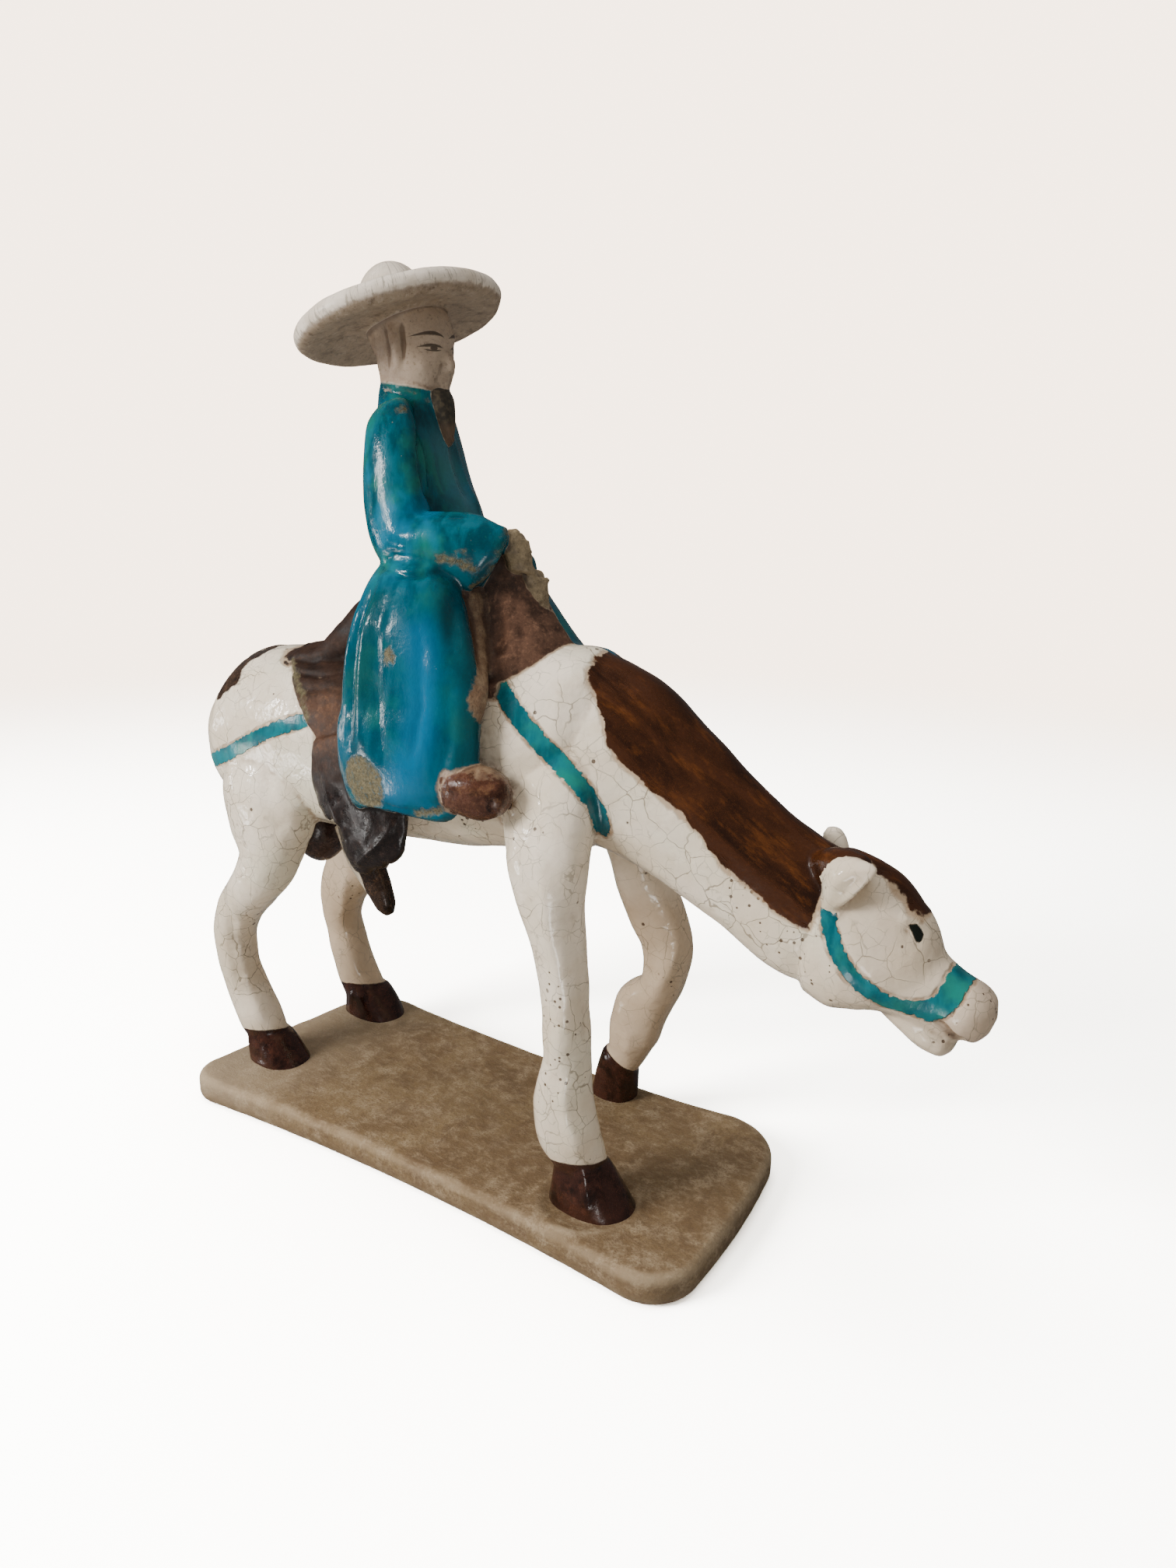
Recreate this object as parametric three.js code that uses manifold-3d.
// Glazed horse and rider: a small earthenware figure fired in one piece, on a hand-cut slab.
// Millimetres. +X runs towards the horse's head, +Y to the horse's left side, +Z up.
// The origin is the centre of the slab's underside.
import * as THREE from "three";
import { mergeVertices } from "three/addons/utils/BufferGeometryUtils.js";
import Module from "manifold-3d";

const wasm = await Module();
wasm.setup();

// The slab, cut by hand: its four corners seen from above, each with its rounding and with the bow of the
// side that follows it. The long sides bow in and the short ones a little out.
const SLAB_CORNERS = [
  { at: [-125, -53], round: 16, bow: -5 },
  { at: [123, -53], round: 20, bow: 1.5 },
  { at: [116.5, 54], round: 24, bow: -5 },
  { at: [-111, 54.5], round: 22, bow: 0.5 },
];
const SLAB_HEIGHT = 12.3;
const SLAB_EDGE = 3.4;

// Heights that the figure is laid out from.
const HOOF_Z = SLAB_HEIGHT - 1.5;
const HEM_Z = 150.5;

// Hat.
const HAT_RADIUS = 38;
const HAT_RIM = 4;
const HAT_CROWN_RADIUS = 13;
const HAT_CROWN_HEIGHT = 14.5;
const HAT_CENTRE = [-32, 0, 320];
const HAT_TILT_BACK = 17.5;
const HAT_TILT_SIDE = 2;

// The rear edge of the saddle cloth leans back by this much, in degrees, and its cutting blocks are this large.
const CLOTH_SLANT = 48;
const CLOTH_REACH = 200;

// Fineness of the clay forms.
const SIDES = 16;
const FINE_RINGS = 2;
const ACROSS = [0, 1, 0];
const NO_FOLDS = { count: 0, depth: 0, phase: 0 };

// A closed solid from a three.js geometry with its shared corners merged.
function solid(geometry) {
  const bare = geometry.index ? geometry.toNonIndexed() : geometry.clone();
  bare.deleteAttribute("normal");
  bare.deleteAttribute("uv");
  const merged = mergeVertices(bare, 1e-3);
  return new wasm.Manifold(
    new wasm.Mesh({
      numProp: 3,
      vertProperties: new Float32Array(merged.attributes.position.array),
      triVerts: new Uint32Array(merged.index.array),
    }),
  );
}

// A modelled limb: a sphere geometry stretched along a smooth line through the stations. Each station is
// [x, y, z, half width, half height, fullness below]. The width lies across the figure, along the side
// direction, and the height square to it. Fullness above 0 widens the lower half of the section. Folds are
// shallow flutes that run along the limb.
function limb(stations, { side = ACROSS, square = 2.2, sides = SIDES, rings = 1, folds = NO_FOLDS } = {}) {
  const line = new THREE.CatmullRomCurve3(stations.map(([x, y, z]) => new THREE.Vector3(x, y, z)));
  const sizes = new THREE.CatmullRomCurve3(stations.map(([, , , w, h, f = 0]) => new THREE.Vector3(w, h, f)));
  const across = new THREE.Vector3(...side);
  const ringCount = (stations.length - 1) * rings + 2;
  const geometry = new THREE.SphereGeometry(1, sides, ringCount);
  const position = geometry.attributes.position;
  const uv = geometry.attributes.uv;
  const rounded = (value) => Math.sign(value) * Math.abs(value) ** (2 / square);
  for (let i = 0; i < position.count; i++) {
    const ring = Math.round((1 - uv.getY(i)) * ringCount);
    const pole = ring === 0 || ring === ringCount;
    const t = THREE.MathUtils.clamp((ring - 1) / (ringCount - 2), 0, 1);
    const centre = line.getPoint(t);
    const size = sizes.getPoint(t);
    const along = line.getTangent(t);
    const lateral = across.clone().addScaledVector(along, -across.dot(along)).normalize();
    const upward = along.clone().cross(lateral);
    const angle = uv.getX(i) * 2 * Math.PI;
    const c = Math.cos(angle);
    const s = Math.sin(angle);
    const flute = 1 + folds.depth * t * Math.cos(folds.count * angle + folds.phase);
    const spread = pole ? 0 : flute;
    centre.addScaledVector(lateral, spread * size.x * rounded(c) * (1 - size.z * s));
    centre.addScaledVector(upward, spread * size.y * rounded(s));
    position.setXYZ(i, centre.x, centre.y, centre.z);
  }
  return outward(solid(geometry), geometry);
}

// The solid itself, or its geometry with every face turned round where the line ran the other way.
function outward(made, geometry) {
  if (made.volume() > 0) {
    return made;
  }
  const flipped = geometry.clone();
  const index = flipped.index.array;
  for (let i = 0; i < index.length; i += 3) {
    [index[i + 1], index[i + 2]] = [index[i + 2], index[i + 1]];
  }
  return solid(flipped);
}

// The same stations on the figure's other side.
function mirrored(stations) {
  return stations.map(([x, y, z, ...rest]) => [x, -y, z, ...rest]);
}

// A rounded lump of clay with its half sizes along x, y and z.
function lump([x, y, z], [a, b, c], sides = 10) {
  const geometry = new THREE.SphereGeometry(1, sides, Math.round(sides * 0.7));
  geometry.rotateX(Math.PI / 2);
  geometry.scale(a, b, c);
  geometry.translate(x, y, z);
  return solid(geometry);
}

// The slab: rounded corners, bowed sides and softened edges.
function slab() {
  const corners = SLAB_CORNERS.map(({ at, round, bow }) => ({ at: new THREE.Vector2(...at), round, bow }));
  const count = corners.length;
  const towards = (from, to, length) => to.clone().sub(from).setLength(length).add(from);
  const outline = new THREE.Shape();
  corners.forEach(({ at, round, bow }, i) => {
    const last = corners[(i + count - 1) % count];
    const next = corners[(i + 1) % count];
    const start = towards(at, last.at, round);
    const end = towards(at, next.at, round);
    const sideEnd = towards(next.at, at, next.round);
    if (i === 0) {
      outline.moveTo(start.x, start.y);
    }
    outline.bezierCurveTo(...blend(start, at), ...blend(end, at), end.x, end.y);
    const run = sideEnd.clone().sub(end).normalize();
    const middle = end.clone().add(sideEnd).multiplyScalar(0.5);
    const pull = 2 * bow;
    outline.quadraticCurveTo(middle.x + pull * run.y, middle.y - pull * run.x, sideEnd.x, sideEnd.y);
  });
  const geometry = new THREE.ExtrudeGeometry(outline, {
    depth: SLAB_HEIGHT - 2 * SLAB_EDGE,
    bevelThickness: SLAB_EDGE,
    bevelSize: SLAB_EDGE,
    bevelOffset: -SLAB_EDGE,
    bevelSegments: 2,
    curveSegments: 5,
  });
  geometry.translate(0, 0, SLAB_EDGE);
  return solid(geometry);
}

// The control point that rounds a corner, between the end of its curve and the corner itself.
function blend(from, to) {
  const share = 0.56;
  return from.clone().lerp(to, share).toArray();
}

// The horse's barrel, from the rump to the breast.
function barrel() {
  return limb(
    [
      [-131.5, 0, 157, 8, 10],
      [-127.5, 0, 157, 23, 23],
      [-114, 0, 157, 31.5, 33.5],
      [-94, 0, 160, 33.5, 37, 0.05],
      [-60, 0, 161, 33, 36, 0.08],
      [-25, 0, 161.5, 33, 34.5, 0.08],
      [10, 0, 165, 33, 34.5, 0.05],
      [38, 0, 171, 32, 37],
      [55, 0, 173, 27, 36],
      [66, 0, 172, 17, 25],
      [70, 0, 171, 7, 10],
    ],
    { rings: FINE_RINGS },
  );
}

// The neck, stretched forwards and down.
function neck() {
  return limb(
    [
      [36, 0, 175, 19, 22, 0.1],
      [52, 0, 173.5, 25, 34.5, 0.15],
      [68, 0, 170, 23.5, 33, 0.2],
      [85, 0, 162, 20.5, 28, 0.25],
      [103, 0, 151.4, 18, 24.8, 0.25],
      [122, 0, 140.8, 17, 22.8, 0.25],
      [140, 0, 131.2, 16, 23.6, 0.25],
      [156, 0, 127, 12, 18, 0.25],
    ],
    { square: 2, rings: FINE_RINGS },
  );
}

// The head: deep round cheeks, a short straight nose and two full lips, a little parted.
function head() {
  const skull = limb(
    [
      [139, 0, 131, 10, 17, 0.2],
      [146, 0, 130, 15.5, 25.5, 0.3],
      [157, 0, 126.5, 17, 25.5, 0.35],
      [168, 0, 121.8, 15.5, 19.6, 0.3],
      [177, 0, 116.6, 12, 12.4, 0.2],
      [185.5, 0, 113, 10.5, 10.3, 0.1],
      [192, 0, 110.8, 10.5, 9.5],
      [196.8, 0, 109.1, 7.6, 7.5],
      [199.2, 0, 108.4, 3, 3],
    ],
    { square: 2.1, rings: FINE_RINGS },
  );
  const chin = limb(
    [
      [166, 0, 109, 6, 4],
      [174, 0, 106.2, 8.5, 5.4],
      [181, 0, 102.2, 9, 5.6],
      [186.5, 0, 99.8, 8, 4.8],
      [189.2, 0, 99.2, 3, 2],
    ],
    { sides: 10 },
  );
  return skull.add(chin);
}

// The ears: short broad leaves, the near one turned forwards and the far one laid back.
const NEAR_EAR = [
  [151, -12, 143, 3, 3],
  [152, -14, 146.5, 3.2, 5.2],
  [154.5, -15.7, 150.5, 3.2, 6.4],
  [158.8, -15.7, 153.5, 3, 5.2],
  [163.8, -14.8, 156.2, 1.3, 1.8],
];
const FAR_EAR = [
  [143.5, 10, 143, 3, 3],
  [142.5, 12, 147, 2.8, 4.2],
  [141, 13, 151.5, 2.8, 4],
  [139.5, 13.3, 155, 2.4, 3],
  [139, 13.4, 156.6, 1, 1.2],
];

function ears() {
  return limb(NEAR_EAR, { sides: 10 }).add(limb(FAR_EAR, { sides: 10 }));
}

// The tail, a flat lock pressed to the back of the rump.
function tail() {
  return limb(
    [
      [-92, -1, 191.5, 2, 2],
      [-102, -2, 191.5, 7, 5],
      [-117.5, -2, 184.5, 8.5, 6],
      [-127.5, 1, 170, 8.5, 6],
      [-131, 3, 151, 7.5, 5],
      [-130, 4, 137, 3, 2.4],
    ],
    { sides: 12 },
  );
}

// The foreleg on the near side, straight, with a thick knee and fetlock.
function nearForeleg() {
  return limb(
    [
      [48, -14, 178, 10, 16],
      [52, -23, 158, 11.5, 18.5],
      [56, -30, 140, 11, 15],
      [59, -31, 122, 10, 11.2],
      [62.3, -31, 106, 8.8, 9],
      [64.4, -31, 88, 8.4, 8.2],
      [65, -31, 69, 8.4, 8.6],
      [64, -31, 48, 9.6, 11.6],
      [66.5, -30.5, 38, 9.6, 11.6],
      [70, -29, 30, 8.8, 9.4],
      [71, -28.5, 25, 8, 8.4],
    ],
    { sides: 12 },
  );
}

// The foreleg on the far side, bent at the knee, with the heel raised.
function farForeleg() {
  return limb(
    [
      [42, 14, 176, 10, 16],
      [48, 22, 157, 11.5, 16],
      [53, 29, 138, 11, 12.6],
      [57, 32, 117, 10, 10.8],
      [62, 35, 101.7, 10, 11.5],
      [66, 37, 91, 9.6, 10.6],
      [66.5, 38, 80, 9, 9.4],
      [62.8, 39, 67, 8.4, 8.8],
      [54.5, 40, 56, 8.6, 11.4],
      [51, 40, 45, 8.6, 11.2],
      [47.5, 40, 33, 7.6, 8.4],
      [44, 40, 26, 7, 7.4],
    ],
    { sides: 12 },
  );
}

// The hind leg on the near side.
function nearHindLeg() {
  return limb(
    [
      [-82, -8, 176, 10, 18],
      [-86.5, -17.5, 158, 13, 27],
      [-88.5, -23, 140, 14, 26],
      [-88.5, -26, 124, 12.5, 20],
      [-90, -27, 110, 11, 13.2],
      [-99, -27, 97, 10, 10.8],
      [-112.5, -25, 83, 9.4, 9.8],
      [-118.5, -24, 71, 9, 9.2],
      [-118, -24, 58, 8.4, 8.4],
      [-115, -22, 42, 8.6, 8.8],
      [-109, -22, 31, 8.8, 9.6],
      [-105.5, -20.8, 24, 8, 8.4],
      [-105, -20.5, 20, 7, 7],
    ],
    { sides: 12 },
  );
}

// The hind leg on the far side, a little further forwards.
function farHindLeg() {
  return limb(
    [
      [-82, 8, 174, 10, 18],
      [-85, 17.5, 154, 13, 25],
      [-86, 26, 132, 14, 24],
      [-89, 30, 112, 12.5, 20],
      [-99, 33, 92, 11, 15.5],
      [-109, 34, 76, 10, 12],
      [-113, 35, 62.7, 9.2, 9.5],
      [-112.5, 36, 52.7, 8.6, 8.8],
      [-110, 36, 43, 8.8, 9],
      [-106, 36, 32, 9, 9.8],
      [-101, 36, 22, 8.8, 10],
      [-100, 36, 18, 7, 8],
    ],
    { sides: 12 },
  );
}

// A hoof: a short cone, wider at the ground and drawn forwards. Its top is level or slopes along the foot.
function hoof([topX, topY, topZ], [topLong, topWide], [footX, footY], [footLong, footWide], slope = 0) {
  const sink = 3;
  const footZ = HOOF_Z - sink;
  const flare = 0.82;
  const geometry = new THREE.CylinderGeometry(1, 1, 1, 12, 3);
  geometry.rotateX(Math.PI / 2);
  const position = geometry.attributes.position;
  const { lerp } = THREE.MathUtils;
  for (let i = 0; i < position.count; i++) {
    const share = 0.5 - position.getZ(i);
    const spread = share ** flare;
    const along = position.getX(i) * lerp(topLong, footLong, spread);
    const across = position.getY(i) * lerp(topWide, footWide, spread);
    const high = lerp(topZ + slope * along, footZ, share);
    position.setXYZ(i, lerp(topX, footX, spread) + along, lerp(topY, footY, spread) + across, high);
  }
  return solid(geometry);
}

function hooves() {
  return hoof([70.5, -28.5, 28.3], [9.8, 9], [75, -26.4], [17.8, 12.8])
    .add(hoof([-105, -20.4, 23.4], [9.3, 8.6], [-98.5, -19.9], [15.8, 11.8]))
    .add(hoof([-100, 36.5, 24.6], [10.2, 9.4], [-94.8, 37], [16.5, 12.3]))
    .add(hoof([45, 40, 29], [7.4, 7.6], [41, 39.8], [10, 8.3], -0.7));
}

// The sheath under the belly, and the clay that fills the groin behind it.
function sheath() {
  const pendant = limb(
    [
      [-68, 0, 124, 7, 8],
      [-61, 0, 109, 6.5, 8],
      [-53.5, 0, 97, 5, 6.2],
      [-49.5, 0, 89.5, 4, 4.4],
      [-47.5, 0, 86, 1.8, 1.8],
    ],
    { sides: 10 },
  );
  return pendant.add(lump([-90, 4, 116], [10.5, 13, 15]));
}

// The saddle cloth: it wraps the back behind the rider and hangs in a lobe on each side.
function saddleCloth() {
  const wrap = limb(
    [
      [-110, 0, 160, 22, 26],
      [-94, 0, 161, 34.5, 38, 0.05],
      [-60, 0, 162, 34.5, 37.5, 0.08],
      [-25, 0, 162, 34.5, 36, 0.08],
      [10, 0, 166, 34.5, 36, 0.05],
      [32, 0, 170, 33.5, 38],
      [42, 0, 172, 24, 30],
    ],
  );
  const behindEdge = new THREE.BoxGeometry(CLOTH_REACH, CLOTH_REACH, CLOTH_REACH);
  behindEdge.translate(CLOTH_REACH / 2, 0, 0);
  behindEdge.rotateY(-THREE.MathUtils.degToRad(CLOTH_SLANT));
  behindEdge.translate(-66, 0, 183);
  const aboveEdge = new THREE.BoxGeometry(CLOTH_REACH, CLOTH_REACH, CLOTH_REACH);
  aboveEdge.translate(0, 0, 153 + CLOTH_REACH / 2);
  const lobe = [
    [-30, -34, 174, 3, 22],
    [-26.5, -37, 162, 4, 25],
    [-21, -38.5, 149.5, 4, 22.8],
    [-19.2, -39, 140, 4, 18.6],
    [-21.8, -38.5, 132.5, 3.6, 13],
    [-23.6, -38, 126.5, 3, 8.6],
    [-24, -37.5, 121.6, 1.6, 3.6],
  ];
  return wrap
    .intersect(solid(behindEdge))
    .intersect(solid(aboveEdge))
    .add(limb(lobe, { sides: 12 }))
    .add(limb(mirrored(lobe), { sides: 12 }));
}

// The raised folds of the cloth behind the rider and the bundle in front of the lap.
function clothFolds() {
  const cantle = limb(
    [
      [-92, 0, 190, 14, 6],
      [-78, 0, 192, 18, 8],
      [-65, 0, 195, 17, 9],
      [-55, 0, 201.5, 15, 11.5],
      [-45, 0, 208.5, 13, 13.5],
      [-34, 0, 214, 10, 10],
    ],
    { sides: 12 },
  );
  const bundle = limb(
    [
      [16, -3, 244, 3.5, 3.5],
      [17, -3, 239, 8, 7],
      [18, -2, 228, 12, 11.5],
      [20, 0, 214, 17, 17.5],
      [23, 0, 200, 24, 23],
      [25, 0, 190, 20, 18],
    ],
    { sides: 14 },
  );
  return cantle.add(bundle);
}

// The rider's body from the hips to the collar.
function riderBody() {
  return limb(
    [
      [-17, 0, 196, 20, 18],
      [-18, 0, 208, 23, 21],
      [-18, 0, 225, 20, 19],
      [-17.4, 0, 242, 18, 20],
      [-21.6, 0, 260, 18, 16.2],
      [-24, 0, 276, 17, 13.8],
      [-25, 0, 287, 14, 13],
      [-25.5, 0, 294, 11, 13],
      [-25, 0, 299, 10, 12],
    ],
    { square: 2.3 },
  );
}

// The robe's skirt on each side of the horse: it flares to a rounded hem and falls in upright folds.
const NEAR_SKIRT = [
  [-10, -18, 238, 8, 14],
  [-7, -25, 226, 12, 20],
  [-3.4, -32, 206, 12, 28.4],
  [1.2, -37.5, 186, 8, 31.8],
  [2, -41, 168, 7, 32],
  [3, -42, 158, 6.5, 29],
  [4, -42, 152.5, 5, 22],
  [4, -42, HEM_Z, 2, 12],
];
const FAR_SKIRT = [
  [-14, 16, 238, 8, 12],
  [-12, 22, 226, 10, 17],
  [-7, 29, 206, 11, 24],
  [-1, 36, 186, 9, 29],
  [1, 41, 168, 7, 31],
  [3, 42, 158, 6.5, 29],
  [4, 42, 152.5, 5, 22],
  [4, 42, HEM_Z, 2, 12],
];
const SKIRT_FOLDS = { count: 8, depth: 0.045, phase: 0.6 };

function skirt() {
  return [NEAR_SKIRT, FAR_SKIRT]
    .map((stations) => limb(stations, { sides: 20, folds: SKIRT_FOLDS }))
    .reduce((a, b) => a.add(b));
}

// The arms hang from the shoulders and bend at the elbow. The near sleeve is wide and ends in front of the
// lap, and the far one is held lower.
const NEAR_UPPER_ARM = [
  [-24, -12, 290, 4, 7],
  [-22, -15.5, 283, 7, 10],
  [-20, -18, 270, 8, 12.6],
  [-18, -20, 256, 8.6, 13.2],
  [-12.5, -21.5, 244, 9.5, 12.4],
  [-4, -22, 240, 8.5, 9],
];
const FAR_UPPER_ARM = [
  [-29, 9, 290, 4, 6],
  [-28.5, 12, 283, 7, 9],
  [-27.5, 15, 270, 8, 9.5],
  [-25, 17, 256, 8.5, 10],
  [-19, 19, 243, 9, 10],
  [-10, 19.5, 238, 8, 8],
];
const NEAR_SLEEVE = [
  [-17, -22, 241, 8, 9],
  [-8, -22, 242, 9, 10.5],
  [4, -20.5, 242, 9, 10.8],
  [13.5, -18, 240.6, 8.2, 12.2],
  [20, -16, 238, 6.6, 13.4],
  [21.8, -15, 236.6, 3, 9.5],
];
const FAR_SLEEVE = [
  [-17, 21, 240, 8, 8],
  [-9, 20, 236, 9, 10],
  [2, 17, 232, 9, 11],
  [11, 13, 229, 8, 11],
  [15, 11, 228, 4, 6],
];

function arms() {
  return [NEAR_UPPER_ARM, NEAR_SLEEVE, FAR_UPPER_ARM, FAR_SLEEVE]
    .map((stations) => limb(stations, { sides: 12 }))
    .reduce((a, b) => a.add(b));
}

function hands() {
  return lump([25, -6, 242], [4.3, 4.5, 6.5]).add(lump([27.5, 1, 228.5], [4.6, 5.5, 7]));
}

function boots() {
  const boot = limb(
    [
      [20, -38, 163, 6, 7],
      [27, -40, 163, 8, 8.5],
      [36, -40, 163, 8, 9.5],
      [43.5, -39, 163, 6, 7],
      [46.5, -38, 163, 2, 3],
    ],
    { sides: 12 },
  );
  const otherSide = new THREE.Matrix4().makeScale(1, -1, 1);
  return boot.add(boot.transform(otherSide.elements));
}

// The rider's head with its ear locks and pointed beard.
function riderHead() {
  const skull = limb(
    [
      [-26, 0, 290, 8.5, 10],
      [-25.5, 0, 296, 10, 12.5],
      [-24.5, 0, 303, 11.5, 14.8],
      [-25, 0, 311, 12, 15.3],
      [-27.6, 0, 318, 12.5, 15.8],
      [-28, 0, 326, 10, 13],
    ],
    { sides: 16 },
  );
  const nose = limb(
    [
      [-12, 0, 311, 1.5, 1.5],
      [-10, 0, 307, 2.4, 2.4],
      [-8, 0, 303.5, 3, 2.6],
      [-10, 0, 301, 2, 2],
    ],
    { sides: 8 },
  );
  const beard = limb(
    [
      [-16, 0, 300, 5, 3],
      [-13.4, 0, 295, 6.5, 3.8],
      [-11.4, 0, 289, 5.2, 3.6],
      [-11, 0, 283, 3.5, 3],
      [-11.5, 0, 278, 1.5, 1.5],
    ],
    { sides: 10 },
  );
  return skull.add(nose).add(beard);
}

// The wide hat: a thick round brim, hollowed a little below, with a small domed crown.
function hat() {
  const arc = (from, to, steps, cx, cz, rx, rz) =>
    Array.from({ length: steps + 1 }, (_, i) => {
      const a = THREE.MathUtils.degToRad(from + ((to - from) * i) / steps);
      return new THREE.Vector2(cx + rx * Math.cos(a), cz + rz * Math.sin(a));
    });
  const profile = [
    new THREE.Vector2(0, -1.5),
    new THREE.Vector2(HAT_RADIUS * 0.55, -1.8),
    ...arc(-100, 90, 5, HAT_RADIUS - HAT_RIM, 0, HAT_RIM, HAT_RIM),
    new THREE.Vector2(HAT_RADIUS * 0.6, HAT_RIM + 1),
    ...arc(0, 90, 4, 0, HAT_RIM + 1.6, HAT_CROWN_RADIUS, HAT_CROWN_HEIGHT),
  ];
  profile[profile.length - 1].x = 0;
  const geometry = new THREE.LatheGeometry(profile, 24);
  geometry.rotateX(Math.PI / 2);
  geometry.rotateY(-THREE.MathUtils.degToRad(HAT_TILT_BACK));
  geometry.rotateX(THREE.MathUtils.degToRad(HAT_TILT_SIDE));
  geometry.translate(...HAT_CENTRE);
  return solid(geometry);
}

const figure = [
  slab(),
  barrel(),
  neck(),
  head(),
  ears(),
  tail(),
  nearForeleg(),
  farForeleg(),
  nearHindLeg(),
  farHindLeg(),
  hooves(),
  sheath(),
  saddleCloth(),
  clothFolds(),
  riderBody(),
  skirt(),
  arms(),
  hands(),
  boots(),
  riderHead(),
  hat(),
].reduce((a, b) => a.add(b));

const mesh = figure.getMesh();
const geometry = new THREE.BufferGeometry();
geometry.setAttribute("position", new THREE.BufferAttribute(mesh.vertProperties, 3));
geometry.setIndex(new THREE.BufferAttribute(mesh.triVerts, 1));
geometry.computeVertexNormals();

const glaze = new THREE.MeshStandardMaterial({ color: 0xe6ddcf, roughness: 0.25, metalness: 0 });
const horseAndRider = new THREE.Mesh(geometry, glaze);
horseAndRider.name = "horse_and_rider";

const group = new THREE.Group();
group.add(horseAndRider);

export default group;
